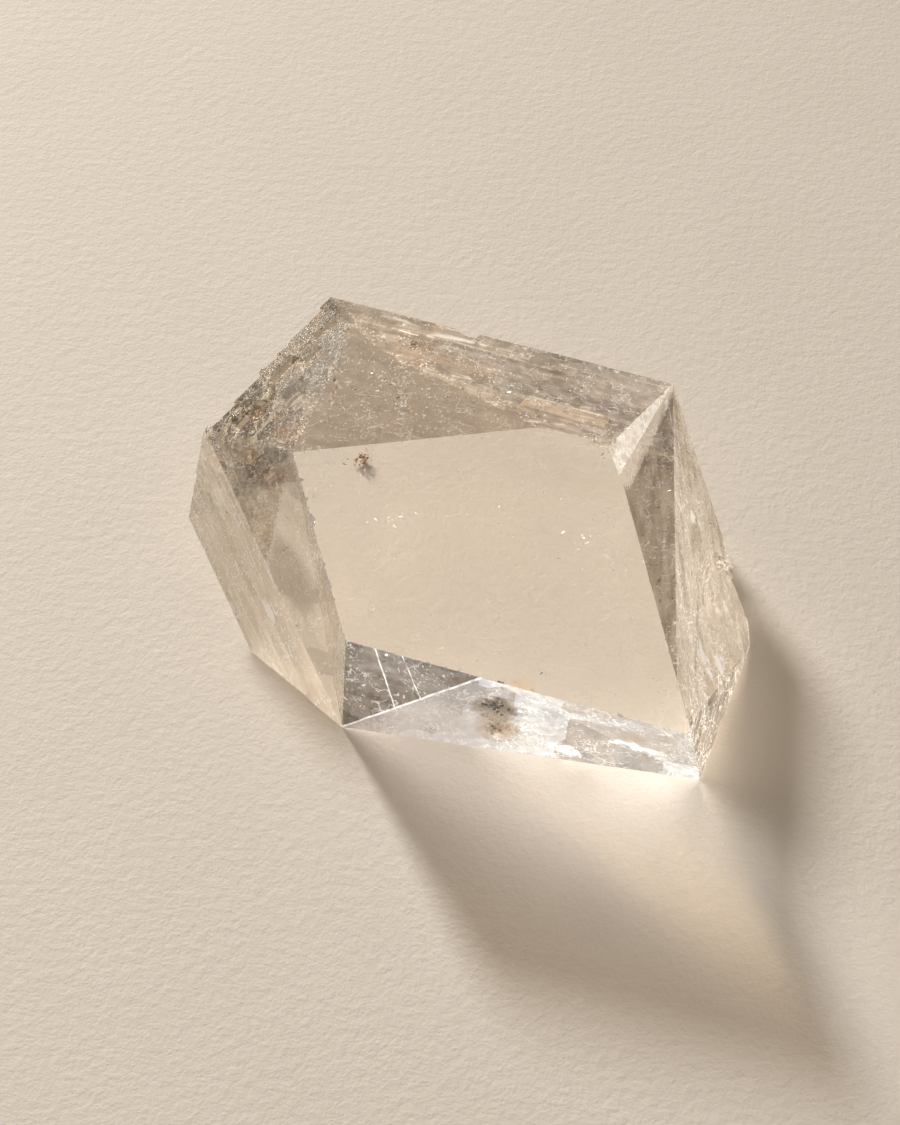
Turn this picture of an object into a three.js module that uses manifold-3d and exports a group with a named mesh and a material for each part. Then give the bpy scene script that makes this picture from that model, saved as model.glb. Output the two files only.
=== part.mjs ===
// Iceland spar: one clear block of calcite, lying on its flat underside.
// Millimetres, +Z up. The longer top edges run roughly along X and the front looks along -Y.
// The block is a cleavage slab: a level top and underside, walls that lean in under the top at the back
// and the left, and flanks that slope out on the left front and the right. Its breaks are cut last.
import * as THREE from "three";
import { ConvexGeometry } from "three/addons/geometries/ConvexGeometry.js";
import { mergeVertices } from "three/addons/utils/BufferGeometryUtils.js";
import Module from "manifold-3d";

const wasm = await Module();
wasm.setup();

const THICK = 16; // height of the level top above the underside

// Corners of the level top, going round from the back left.
const TOP_BACK_LEFT = [-15.7, 30.9, THICK];
const TOP_BACK_MID = [14.5, 20.28, THICK];
const TOP_BACK_RIGHT = [27.6, 15.7, THICK];
const TOP_STEP = [19.2, 5.1, THICK];
const TOP_WAIST = [21.0, -2.0, THICK];
const TOP_FRONT_RIGHT = [27.3, -38.9, THICK];
const TOP_FRONT_MID = [3.6, -30.7, THICK];
const TOP_FRONT_LEFT = [-12.2, -25.2, THICK];
const TOP_LEFT_NECK = [-19.3, 4.2, THICK];
const TOP_LEFT_TIP = [-30.3, 8.1, THICK];

// Corners of the underside, going round from the front left.
const FOOT_FRONT_LEFT = [-13.0, -25.7, 0];
const FOOT_LEFT = [-24.4, -14.4, 0];
const FOOT_BACK_LEFT = [-19.8, 11.5, 0];
const FOOT_BACK_MID = [10.9, 15.7, 0];
const FOOT_BACK_RIGHT = [30.5, 9.0, 0];
const FOOT_RIGHT = [37.2, -11.5, 0];
const FOOT_RIGHT_FRONT = [32.9, -23.2, 0];
const FOOT_FRONT_RIGHT = [29.4, -33.4, 0];
const FOOT_INNER_BACK = [20.0, 13.0, 0]; // inside the joined block
const FOOT_INNER_RIGHT = [24.0, -20.0, 0]; // inside the joined block

// Corners part of the way down the walls.
const GIRDLE_LEFT = [-32.4, 1.2, 7.2];
const GIRDLE_BACK_LEFT = [-12.6, 27.5, 8.6];
const GIRDLE_BACK_MID = [18.4, 16.9, 8.2];
const GIRDLE_BACK_RIGHT = [26.8, 13.8, 8.2];
const LEDGE_BACK = [25.2, 11.2, 14.3];
const LEDGE_WAIST = [18.0, -2.0, 12.4];
const LEDGE_FRONT = [26.0, -36.0, 12.4];
const RIDGE_RIGHT = [27.4, -3.6, 10.5];

// The three directions calcite splits along. The first two lie in the level top.
const ALONG = new THREE.Vector3(0.942, -0.334, 0).normalize();
const ACROSS = new THREE.Vector3(0.588, 0.809, 0).normalize();
const PLUNGE = new THREE.Vector3(0.096, -0.313, -0.945).normalize();

// The hollow break across the front, deepest at its heart.
const FRONT_BREAK_HEART = [13.5, -31.2, 7.5];
const FRONT_BREAK_REACH = 14; // how far its cutter stands out in front

// Splits: how many, and the least and most depth, length and height of one.
const LEFT_SPLITS = { count: 46, bite: [0.12, 0.8], length: [1.6, 5.5], height: [1.2, 5.0] };
const BACK_SPLITS = { count: 7, bite: [0.05, 0.24], length: [4, 13], height: [0.6, 2.4] };
const SEED = 20261;

// Breaks on the right: one hollow like the inside of a shell, and narrow flutes below it.
const SHELL_BREAK = { centre: [38.2, -11.5, 10.6], radii: [9, 8.2, 9], turn: 0.2, tip: 0 };
const FLUTES = [
  { centre: [32.6, -19.0, 7.6], radii: [1.7, 6.5, 1.7], turn: 0.42, tip: 0.55 },
  { centre: [30.4, -23.6, 10.6], radii: [1.5, 6.0, 1.5], turn: 0.3, tip: 0.5 },
  { centre: [33.8, -24.6, 4.0], radii: [1.6, 5.0, 1.6], turn: 0.5, tip: 0.62 },
];

// Long low ledges on the two flanks, each laid from a start, with its run, its fall and its depth.
const LEFT_LEDGES = [
  { start: 0.1, end: 0.86, drop: 2.2, depth: 0.16 },
  { start: 0.22, end: 0.95, drop: 4.6, depth: 0.14 },
  { start: 0.0, end: 0.55, drop: 7.4, depth: 0.18 },
];
const RIGHT_LEDGES = [
  { start: 0.05, end: 0.7, drop: 3.0, depth: 0.4 },
  { start: 0.3, end: 1.0, drop: 6.0, depth: 0.45 },
];

// Small chips: a flattened ball each, out of an edge.
const CHIPS = [
  { centre: [2.4, 24.6, 16.4], radii: [1.5, 0.9, 1.3], turn: -0.35, tip: 0 }, // back edge
  { centre: [16.7, -32.3, -0.3], radii: [1.6, 1.2, 1.5], turn: -0.2, tip: 0 }, // foot of the front
  { centre: [18.7, 5.6, 16.8], radii: [2.3, 1.0, 1.2], turn: -0.25, tip: 0 }, // step beside the waist
  { centre: [-16.6, 31.8, 16.6], radii: [2.0, 1.5, 2.4], turn: 0.4, tip: 0 }, // back left corner
  { centre: [-12.7, -25.8, 16.4], radii: [1.1, 0.9, 1.0], turn: 0.2, tip: 0 }, // front left corner
  { centre: [-30.8, 8.1, 16.6], radii: [1.1, 0.9, 1.2], turn: 0.6, tip: 0 }, // left tip
  { centre: [28.1, -39.8, 16.7], radii: [2.2, 1.9, 2.0], turn: 0.4, tip: 0 }, // front right corner
];

const WALL_LEAN_EXTRA = 0.12; // how much more than PLUNGE the walls lean in, for each millimetre down it
const OUTSIDE = 20; // how far cutters stand out beyond the faces they cut

// A corner as a vector.
function at(corner) {
  return new THREE.Vector3(...corner);
}

// A closed solid for manifold-3d from any three.js geometry.
function solid(geometry) {
  const bare = geometry.clone();
  bare.deleteAttribute("normal");
  bare.deleteAttribute("uv");
  const merged = mergeVertices(bare, 1e-4);
  const mesh = new wasm.Mesh({
    numProp: 3,
    vertProperties: new Float32Array(merged.attributes.position.array),
    triVerts: new Uint32Array(merged.index.array),
  });
  return new wasm.Manifold(mesh);
}

// The convex block with the given corners.
function block(...corners) {
  const points = corners.map((corner) => (corner.isVector3 ? corner : at(corner)));
  return solid(new ConvexGeometry(points));
}

// A stretched ball, turned about Z and then tipped about its own long axis.
function shell(centre, radii, turn, tip) {
  const ball = new THREE.SphereGeometry(1, 28, 18);
  ball.scale(...radii);
  ball.rotateX(tip);
  ball.rotateZ(turn);
  ball.translate(...centre);
  return solid(ball);
}

// Evenly spread numbers from 0 to 1, the same on every run.
function dice(seed) {
  let state = seed;
  return () => {
    state = (state * 1664525 + 1013904223) % 4294967296;
    return state / 4294967296;
  };
}

function between([least, most], share) {
  return least + (most - least) * share;
}

// A six-faced solid on one corner, with the three edges that leave it.
function slab(corner, first, second, third) {
  const corners = [];
  for (const i of [0, 1])
    for (const j of [0, 1])
      for (const k of [0, 1])
        corners.push(
          corner.clone().addScaledVector(first, i).addScaledVector(second, j).addScaledVector(third, k),
        );
  return block(...corners);
}

// Small rhombs split off a wall in steps: the wall's top edge runs from start to end along run, and
// outward is the splitting direction that crosses it.
function splitWall(target, splits, start, end, run, outward, roll) {
  let kept = target;
  for (let i = 0; i < splits.count; i += 1) {
    const bite = between(splits.bite, roll() ** 2);
    const length = between(splits.length, roll());
    const height = between(splits.height, roll());
    const fromTop = roll() < 0.45;
    const depth = fromTop ? -0.5 : roll() * THICK * 0.85;
    const corner = start.clone().lerp(end, roll());
    corner.addScaledVector(PLUNGE, depth);
    corner.addScaledVector(outward, -bite - Math.max(0, depth) * WALL_LEAN_EXTRA);
    const across = outward.clone().multiplyScalar(OUTSIDE);
    const along = run.clone().multiplyScalar(length);
    const down = PLUNGE.clone().multiplyScalar(height);
    kept = kept.subtract(slab(corner, along, across, down));
  }
  return kept;
}

// Long low ledges on a flank whose upper edge runs from start to end; outward is square to the flank.
function cutLedges(target, ledges, start, end, outward) {
  const run = end.clone().sub(start);
  const fall = outward.clone().cross(run).normalize();
  if (fall.z > 0) fall.negate();
  let kept = target;
  for (const ledge of ledges) {
    const corner = start.clone().addScaledVector(run, ledge.start);
    corner.addScaledVector(fall, ledge.drop).addScaledVector(outward, -ledge.depth);
    const along = run.clone().multiplyScalar(ledge.end - ledge.start);
    const across = fall.clone().multiplyScalar(OUTSIDE);
    const away = outward.clone().multiplyScalar(OUTSIDE);
    kept = kept.subtract(slab(corner, along, across, away));
  }
  return kept;
}

// Block: four convex pieces of the one crystal, joined where the top narrows at its waist and neck.
const middle = block(
  TOP_BACK_LEFT,
  TOP_BACK_MID,
  TOP_STEP,
  TOP_WAIST,
  TOP_FRONT_RIGHT,
  TOP_FRONT_LEFT,
  TOP_LEFT_NECK,
  GIRDLE_BACK_LEFT,
  GIRDLE_BACK_MID,
  FOOT_BACK_LEFT,
  FOOT_BACK_MID,
  FOOT_INNER_BACK,
  FOOT_INNER_RIGHT,
  FOOT_FRONT_RIGHT,
  FOOT_FRONT_LEFT,
);

const leftWing = block(
  TOP_BACK_LEFT,
  TOP_LEFT_TIP,
  TOP_LEFT_NECK,
  GIRDLE_LEFT,
  FOOT_BACK_LEFT,
  FOOT_LEFT,
  FOOT_FRONT_LEFT,
);

const backRightWing = block(
  TOP_BACK_MID,
  TOP_BACK_RIGHT,
  TOP_STEP,
  LEDGE_BACK,
  GIRDLE_BACK_MID,
  GIRDLE_BACK_RIGHT,
  FOOT_BACK_MID,
  FOOT_BACK_RIGHT,
  LEDGE_WAIST,
);

const rightWing = block(
  LEDGE_BACK,
  LEDGE_WAIST,
  LEDGE_FRONT,
  RIDGE_RIGHT,
  TOP_BACK_RIGHT,
  FOOT_BACK_RIGHT,
  FOOT_RIGHT,
  FOOT_RIGHT_FRONT,
  FOOT_FRONT_RIGHT,
  FOOT_BACK_MID,
);

let body = middle.add(leftWing).add(backRightWing).add(rightWing);

// Front break: a hollow between the lip of the top and the foot of the front.
const inFront = (corner) => [corner[0], corner[1] - FRONT_BREAK_REACH, corner[2]];
body = body.subtract(
  block(
    FOOT_FRONT_LEFT,
    TOP_FRONT_MID,
    TOP_FRONT_RIGHT,
    FOOT_FRONT_RIGHT,
    FRONT_BREAK_HEART,
    inFront(FOOT_FRONT_LEFT),
    inFront(TOP_FRONT_MID),
    inFront(TOP_FRONT_RIGHT),
    inFront(FOOT_FRONT_RIGHT),
  ),
);

// Walls: the back left one is rough with splits, the back one has a few long ones.
const roll = dice(SEED);
const leftward = ALONG.clone().negate();
body = splitWall(body, LEFT_SPLITS, at(TOP_LEFT_TIP), at(TOP_BACK_LEFT), ACROSS, leftward, roll);
body = splitWall(body, BACK_SPLITS, at(TOP_BACK_LEFT), at(TOP_BACK_RIGHT), ALONG, ACROSS, roll);

// Flanks: long low ledges.
const leftFlank = new THREE.Plane().setFromCoplanarPoints(
  at(TOP_LEFT_TIP),
  at(FOOT_LEFT),
  at(FOOT_FRONT_LEFT),
);
body = cutLedges(body, LEFT_LEDGES, at(TOP_LEFT_TIP), at(FOOT_FRONT_LEFT), leftFlank.normal);
const rightFlank = new THREE.Plane().setFromCoplanarPoints(at(RIDGE_RIGHT), at(LEDGE_FRONT), at(FOOT_RIGHT));
body = cutLedges(body, RIGHT_LEDGES, at(LEDGE_FRONT), at(RIDGE_RIGHT), rightFlank.normal);

// Breaks and chips.
for (const hollow of [SHELL_BREAK, ...FLUTES, ...CHIPS])
  body = body.subtract(shell(hollow.centre, hollow.radii, hollow.turn, hollow.tip));

const out = body.getMesh();
const geometry = new THREE.BufferGeometry();
geometry.setAttribute("position", new THREE.BufferAttribute(new Float32Array(out.vertProperties), 3));
geometry.setIndex(new THREE.BufferAttribute(new Uint32Array(out.triVerts), 1));

// The part's origin is the middle of its footprint box, on the surface it lies on.
geometry.computeBoundingBox();
const middleOfBox = geometry.boundingBox.getCenter(new THREE.Vector3());
geometry.translate(-middleOfBox.x, -middleOfBox.y, -geometry.boundingBox.min.z);

const crystal = new THREE.Mesh(
  geometry.toNonIndexed(),
  new THREE.MeshStandardMaterial({ color: 0xd8c6ae, roughness: 0.15, metalness: 0 }),
);
crystal.geometry.computeVertexNormals();
crystal.name = "crystal";

const group = new THREE.Group();
group.name = "iceland_spar";
group.add(crystal);

export default group;
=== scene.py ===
"""Looks for the iceland spar crystal: one clear calcite block lying on pale paper.

Everything is in metres in the part's own frame: +Z up, the front looks along -Y, and the crystal stands on
z = 0. Tables of places and sizes, and the textures in the materials, are in millimetres.
"""
import math
import random
from collections import namedtuple
from types import SimpleNamespace

import bmesh
import bpy
import numpy as np
from mathutils import Matrix, Vector
from mathutils.bvhtree import BVHTree
from mathutils.geometry import area_tri


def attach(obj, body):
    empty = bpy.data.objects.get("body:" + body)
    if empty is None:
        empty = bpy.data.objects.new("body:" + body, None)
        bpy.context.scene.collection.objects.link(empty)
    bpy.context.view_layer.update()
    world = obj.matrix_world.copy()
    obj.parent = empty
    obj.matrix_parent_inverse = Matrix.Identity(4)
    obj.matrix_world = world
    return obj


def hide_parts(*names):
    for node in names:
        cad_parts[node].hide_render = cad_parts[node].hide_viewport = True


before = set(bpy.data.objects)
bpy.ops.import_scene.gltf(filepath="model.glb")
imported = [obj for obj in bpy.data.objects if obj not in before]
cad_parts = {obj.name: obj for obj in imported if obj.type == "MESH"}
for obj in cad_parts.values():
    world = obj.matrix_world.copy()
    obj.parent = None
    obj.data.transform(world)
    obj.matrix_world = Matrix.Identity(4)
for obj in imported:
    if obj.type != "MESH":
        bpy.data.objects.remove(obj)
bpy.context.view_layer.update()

MM = 0.001
UP = Vector((0, 0, 1))
SEED = 7

# Directions calcite splits along, the first two level, and which way the fine ribs run down the two flanks.
ALONG = Vector((0.942, -0.334, 0)).normalized()
ACROSS = Vector((0.588, 0.809, 0)).normalized()
PLUNGE = Vector((0.096, -0.313, -0.945)).normalized()
LEFT_RUN = Vector((17.3, -33.8, -16.0))
RIGHT_RUN = Vector((2.0, -49.0, -14.0))

KEY_WATTS = 10.0
KEY_BEARING, KEY_HEIGHT = math.radians(115), math.radians(21.3)
TOWARD_KEY = Vector((math.cos(KEY_BEARING) * math.cos(KEY_HEIGHT),
                     math.sin(KEY_BEARING) * math.cos(KEY_HEIGHT),
                     math.sin(KEY_HEIGHT)))
SKY_DIM = 0.10
SKY_BRIGHT = 0.42
SKY_TOWARD = Vector((-0.42, 0.62, 0.66)).normalized()

scene = bpy.context.scene
scene.view_settings.view_transform = "Standard"
scene.cycles.diffuse_bounces = 2  # enough between pale paper and a clear stone


# ---------------------------------------------------------------- node helpers
def node(tree, kind, values=None, **settings):
    """A new node with its settings and its unlinked input values."""
    made = tree.nodes.new(kind)
    for key, value in settings.items():
        setattr(made, key, value)
    for key, value in (values or {}).items():
        made.inputs[key].default_value = value
    return made


def link(tree, source, target):
    tree.links.new(source, target)


def math_node(tree, operation, a, b=None):
    """The output of a Math node; a and b are sockets or numbers."""
    made = node(tree, "ShaderNodeMath", operation=operation)
    for i, value in enumerate((a, b)):
        if isinstance(value, (int, float)):
            made.inputs[i].default_value = value
        elif value is not None:
            link(tree, value, made.inputs[i])
    return made.outputs[0]


def vector_math(tree, operation, a, b=None, c=None, scale=None):
    """The output of a Vector Math node; a, b and c are sockets or vectors, and scale is a socket."""
    made = node(tree, "ShaderNodeVectorMath", operation=operation)
    for i, value in enumerate((a, b, c)):
        if isinstance(value, bpy.types.NodeSocket):
            link(tree, value, made.inputs[i])
        elif value is not None:
            made.inputs[i].default_value = value
    if scale is not None:
        link(tree, scale, made.inputs["Scale"])
    gives_number = operation in ("DOT_PRODUCT", "DISTANCE", "LENGTH")
    return made.outputs["Value" if gives_number else "Vector"]


def parts(tree, vector):
    """The three numbers of a vector, each as a socket."""
    made = node(tree, "ShaderNodeSeparateXYZ")
    link(tree, vector, made.inputs[0])
    return tuple(made.outputs)


def times(tree, *values):
    result = values[0]
    for value in values[1:]:
        result = math_node(tree, "MULTIPLY", result, value)
    return result


def highest(tree, *values):
    result = values[0]
    for value in values[1:]:
        result = math_node(tree, "MAXIMUM", result, value)
    return result


def total(tree, *terms):
    """The sum of sockets, each given alone or as (socket, factor or socket)."""
    result = None
    for term in terms:
        if isinstance(term, tuple):
            term = times(tree, *term)
        result = term if result is None else math_node(tree, "ADD", result, term)
    return result


def ramp(tree, source, low, high, to_low=0.0, to_high=1.0):
    """A socket mapped from low..high to to_low..to_high, clamped."""
    made = node(tree, "ShaderNodeMapRange", {
        "From Min": low, "From Max": high, "To Min": to_low, "To Max": to_high})
    link(tree, source, made.inputs["Value"])
    return made.outputs["Result"]


def blend(tree, factor, low, high):
    """A colour between two: each a socket or a colour of three numbers."""
    mix = node(tree, "ShaderNodeMix", data_type="RGBA")
    link(tree, factor, mix.inputs["Factor"])
    for name, value in (("A", low), ("B", high)):
        if isinstance(value, tuple):
            mix.inputs[name].default_value = (*value, 1)
        else:
            link(tree, value, mix.inputs[name])
    return mix.outputs["Result"]


def layered(tree, base, marks, layers):
    """A colour with others laid over it in turn, each given as (mark, how strongly, colour)."""
    for mark, strength, tone in layers:
        base = blend(tree, times(tree, marks[mark], strength), base, tone)
    return base


def noise(tree, vector, scale, detail=4.0, rough=0.55, distortion=0.0):
    made = node(tree, "ShaderNodeTexNoise", {
        "Scale": scale, "Detail": detail, "Roughness": rough, "Distortion": distortion})
    link(tree, vector, made.inputs["Vector"])
    return made.outputs["Fac"]


def skewed(tree, place, axes):
    """Coordinates measured along three axes, each given as (direction, scale)."""
    gathered = node(tree, "ShaderNodeCombineXYZ")
    for i, (axis, scale) in enumerate(axes):
        link(tree, vector_math(tree, "DOT_PRODUCT", place, axis.normalized() * scale), gathered.inputs[i])
    return gathered.outputs[0]


def along(tree, place, run, stretch, fine):
    """Coordinates drawn out along a direction: stretch is the scale along it, fine the scale across."""
    run = Vector(run).normalized()
    side = run.orthogonal().normalized()
    return skewed(tree, place, ((run, stretch), (side, fine), (run.cross(side), fine)))


def mosaic(tree, place, axes, jitter):
    """A value from 0 to 1 for each cell of a blocky pattern laid along the given axes."""
    made = node(tree, "ShaderNodeTexVoronoi", {"Scale": 1.0, "Randomness": jitter},
                feature="F1", distance="CHEBYCHEV")
    link(tree, skewed(tree, place, axes), made.inputs["Vector"])
    return parts(tree, made.outputs["Color"])[0]


def nearness(tree, place, centre, reach, fade):
    """1 within reach of a point, fading to 0 a further fade away."""
    return ramp(tree, vector_math(tree, "DISTANCE", place, centre), reach, reach + fade, 1.0, 0.0)


def cracks(tree, place, scale, width, keep, sparse):
    """Thin lines of a broken net: keep and sparse are how much of the surface goes without."""
    net = node(tree, "ShaderNodeTexVoronoi", {"Scale": scale}, feature="DISTANCE_TO_EDGE")
    link(tree, place, net.inputs["Vector"])
    cluster = math_node(tree, "SUBTRACT", noise(tree, place, scale * 0.4, 3, 0.6), sparse)
    return times(tree, ramp(tree, net.outputs["Distance"], width * 0.4, width, 1.0, 0.0),
                 ramp(tree, cluster, keep, keep + 0.05))


def specks(tree, place, scale, keep, sparse):
    """Small bright spots, gathered in clusters."""
    cluster = math_node(tree, "SUBTRACT", noise(tree, place, scale * 0.12, 2, 0.6), sparse)
    return times(tree, ramp(tree, noise(tree, place, scale, 1, 0.5), keep, keep + 0.05),
                 ramp(tree, cluster, 0.42, 0.52))


def shaken(tree, place, scale, reach):
    """The place moved about by up to reach, so that straight things wander a little."""
    made = node(tree, "ShaderNodeTexNoise", {"Scale": scale, "Detail": 2.0})
    link(tree, place, made.inputs["Vector"])
    centred = vector_math(tree, "SUBTRACT", made.outputs["Color"], (0.5, 0.5, 0.5))
    return vector_math(tree, "MULTIPLY_ADD", centred, (2 * reach,) * 3, place)


def line_through(tree, place, start, end, width):
    """1 on the straight line through two points, fading to 0 at the given distance from it."""
    away = vector_math(tree, "SUBTRACT", place, start)
    across = vector_math(tree, "CROSS_PRODUCT", away, (Vector(end) - Vector(start)).normalized())
    return ramp(tree, vector_math(tree, "LENGTH", across), width * 0.5, width, 1.0, 0.0)


def lens(tree, place, centre, run, long, wide):
    """1 within a long rounded patch, fading to 0 at its rim."""
    run = Vector(run).normalized()
    side = run.orthogonal().normalized()
    axes = ((run, 1 / long), (side, 1 / wide), (run.cross(side), 1 / wide))
    middle = tuple(axis.dot(Vector(centre)) * scale for axis, scale in axes)
    return nearness(tree, skewed(tree, place, axes), middle, 0.6, 0.4)


def millimetres(tree):
    to_mm = node(tree, "ShaderNodeMapping", {"Scale": (1000, 1000, 1000)})
    link(tree, node(tree, "ShaderNodeTexCoord").outputs["Object"], to_mm.inputs["Vector"])
    return to_mm.outputs["Vector"]


# ---------------------------------------------------------------- the crystal's mesh
# The crystal's surfaces, told apart by the way they face: bearing and tilt in degrees, least and most.
ZONES = {
    "clear_top": ((-181, 181), (84.5, 91)),
    "underside": ((-181, 181), (-91, -84.5)),
    "ledge": ((-181, 181), (65, 84.5)),
    "bevel": ((-60, -20), (25, 65)),
    "strip_inner": ((-125, -60), (25, 65)),
    "strip_outer": ((-155, -125), (-60, 65)),
    "pane_left": ((-178, -155), (-30, 65)),
    "wall_left": ((112, 181), (-84.5, 65)),
    "undercut": ((75, 112), (-84.5, -40)),
    "wall_back": ((35, 112), (-84.5, 65)),
    "flank_right": ((-60, 35), (-84.5, 65)),
    "mirror": ((-125, -105), (-3, 25)),
    "front": ((-181, 181), (-91, 91)),
}
FINISHES = (*ZONES, "chip", "crack", "inclusion", "rust")
CHIP, CRACK, INCLUSION, RUST = (FINISHES.index(name) for name in ("chip", "crack", "inclusion", "rust"))

SMALL_FACE = 12 * MM * MM  # a face smaller than this near a rough wall is one of its steps
FOOT, RIM = 0.3 * MM, 15.9 * MM  # just over the underside and just under the top

# Upper edges of the two rough walls, and how far in from them their steps reach.
WALL_LEAN = 0.42  # how far the walls lean in for each step down
LEFT_WALL = (Vector((-32.53, 12.09, 16)) * MM, Vector((-17.93, 34.89, 16)) * MM, 3.6 * MM)
BACK_WALL = (Vector((-17.93, 34.89, 16)) * MM, Vector((25.37, 19.69, 16)) * MM, 0.9 * MM)


def near_wall(place, wall):
    """True for a place in the band of steps along a rough wall, which leans in as it goes down."""
    start, end, reach = wall
    run = end - start
    inward = Vector((run.y, -run.x, 0)).normalized()
    way_along = (place - start).dot(run) / run.length_squared
    lean = (start.z - place.z) * WALL_LEAN
    deep = (place - start).dot(inward) - lean
    return -0.02 < way_along < 1.02 and deep < reach and FOOT < place.z < RIM


def on_right_flank(place):
    """True for a place on the right flank, whose broken facets face every way."""
    return place.x > 26 * MM and -26 * MM < place.y < 8 * MM and FOOT < place.z < 12 * MM


def zone_of(normal, place, area):
    """The number of the finish that suits a face."""
    bearing = math.degrees(math.atan2(normal.y, normal.x))
    tilt = math.degrees(math.asin(max(-1.0, min(1.0, normal.z))))
    small = area < SMALL_FACE
    if on_right_flank(place):
        return FINISHES.index("flank_right")
    for name, ((from_bearing, to_bearing), (from_tilt, to_tilt)) in ZONES.items():
        if from_bearing < bearing <= to_bearing and from_tilt < tilt <= to_tilt:
            if small and name not in ("wall_left", "wall_back", "clear_top"):
                if near_wall(place, LEFT_WALL):
                    name = "wall_left"
                elif near_wall(place, BACK_WALL):
                    name = "wall_back"
            return FINISHES.index(name)
    return FINISHES.index("front")


def add_hull(cutter, points):
    verts = [cutter.verts.new(point) for point in points]
    made = bmesh.ops.convex_hull(cutter, input=verts)
    spare = {v for v in made["geom_interior"] + made["geom_unused"] if isinstance(v, bmesh.types.BMVert)}
    bmesh.ops.delete(cutter, geom=list(spare), context="VERTS")
    return [face for face in made["geom"] if isinstance(face, bmesh.types.BMFace) and face.is_valid]


def carve(block, cutter, finish):
    """Takes the cutter's closed pieces out of the block; the faces they leave get the finish plus one."""
    mesh = bpy.data.meshes.new("cutter")
    bmesh.ops.recalc_face_normals(cutter, faces=cutter.faces)
    cutter.to_mesh(mesh)
    cutter.free()
    layer = mesh.attributes.new("finish", "INT", "FACE")
    layer.data.foreach_set("value", np.full(len(mesh.polygons), finish + 1, dtype=np.int32))
    tool = bpy.data.objects.new("cutter", mesh)
    scene.collection.objects.link(tool)
    step = block.modifiers.new("carve", "BOOLEAN")
    step.operation = "DIFFERENCE"
    step.solver = "MANIFOLD"
    step.object = tool
    graph = bpy.context.evaluated_depsgraph_get()
    carved = bpy.data.meshes.new_from_object(block.evaluated_get(graph))
    block.modifiers.clear()
    old = block.data
    block.data = carved
    bpy.data.meshes.remove(old)
    bpy.data.objects.remove(tool)
    bpy.data.meshes.remove(mesh)


def spot(*places):
    """A key that puts things in one order by where they lie, to a thousandth of a millimetre."""
    return tuple(round(value / MM, 3) for place in places for value in place)


def sharp_edges(block, least_turn):
    """The convex edges that turn by more than least_turn, each (start, end, mean normal), in one order."""
    work = bmesh.new()
    work.from_mesh(block.data)
    found = []
    for edge in work.edges:
        if len(edge.link_faces) == 2 and edge.is_convex and edge.calc_face_angle(0) > least_turn:
            normal = (edge.link_faces[0].normal + edge.link_faces[1].normal).normalized()
            start, end = sorted((vert.co.copy() for vert in edge.verts), key=spot)
            found.append((start, end, normal))
    work.free()
    return sorted(found, key=lambda edge: spot(edge[0], edge[1]))


def chip_edges(block, rng, count, size, keep):
    """Small many-sided chips out of the sharp edges for which keep(place) holds; few of them are large."""
    edges = [e for e in sharp_edges(block, math.radians(15)) if keep((e[0] + e[1]) / 2)]
    lengths = [(e[1] - e[0]).length for e in edges]
    cutter = bmesh.new()
    placed = []
    for _ in range(count):
        start, end, normal = rng.choices(edges, weights=lengths)[0]
        run = (end - start).normalized()
        side = normal.cross(run).normalized()
        reach = size[0] + (size[1] - size[0]) * rng.random() ** 2.5
        long = reach * rng.uniform(1.0, 2.6)
        centre = start.lerp(end, rng.random()) + normal * reach * rng.uniform(0.2, 0.65)
        if any((centre - other).length < (long + room) * 1.05 for other, room in placed):
            continue
        placed.append((centre, long))
        points = []
        for _ in range(9):
            way = Vector((rng.gauss(0, 1), rng.gauss(0, 1), rng.gauss(0, 1))).normalized()
            points.append(centre + run * way.x * long + side * way.y * reach + normal * way.z * reach)
        add_hull(cutter, points)
    carve(block, cutter, CHIP)


def split_faces(block, rng, count, zone, outward, spans, bite, lowest=0.0):
    """Shallow flat-floored steps in the faces of one zone, each along calcite's splitting directions."""
    mesh = block.data
    finish = FINISHES.index(zone)
    mesh.calc_loop_triangles()
    chosen = [zone_of(p.normal, p.center, p.area) == finish for p in mesh.polygons]
    triangles = [sorted((mesh.vertices[i].co.copy() for i in t.vertices), key=spot)
                 for t in mesh.loop_triangles if chosen[t.polygon_index]]
    triangles.sort(key=lambda corners: spot(*corners))
    weights = [area_tri(*corners) for corners in triangles]
    cutter = bmesh.new()
    placed = []
    stands = 0.9 * MM  # how far a cutter stands out of the face
    for _ in range(count):
        corners = rng.choices(triangles, weights=weights)[0]
        a, b = rng.random(), rng.random()
        if a + b > 1:
            a, b = 1 - a, 1 - b
        place = corners[0] + (corners[1] - corners[0]) * a + (corners[2] - corners[0]) * b
        first, second = (way * (least + (most - least) * rng.random() ** 2) for way, least, most in spans)
        deep = bite[0] + (bite[1] - bite[0]) * rng.random() ** 2
        room = max(first.length, second.length) * 0.62
        crowded = any((place - other).length < room + taken for other, taken in placed)
        if place.z < lowest or crowded:
            continue
        placed.append((place, room))
        centre = place + outward * (stands - deep) / 2
        out = outward * (stands + deep)
        add_hull(cutter, [centre + first * i + second * j + out * k
                          for i in (-0.5, 0.5) for j in (-0.5, 0.5) for k in (-0.5, 0.5)])
    carve(block, cutter, finish)


def inside(surface, point, margin):
    """True where the point lies inside a closed surface and at least margin away from it."""
    if surface.find_nearest(point)[3] < margin:
        return False
    crossings = 0
    start = point.copy()
    while True:
        hit = surface.ray_cast(start, UP)
        if hit[0] is None:
            return crossings % 2 == 1
        crossings += 1
        start = hit[0] + UP * 0.001 * MM


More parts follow.
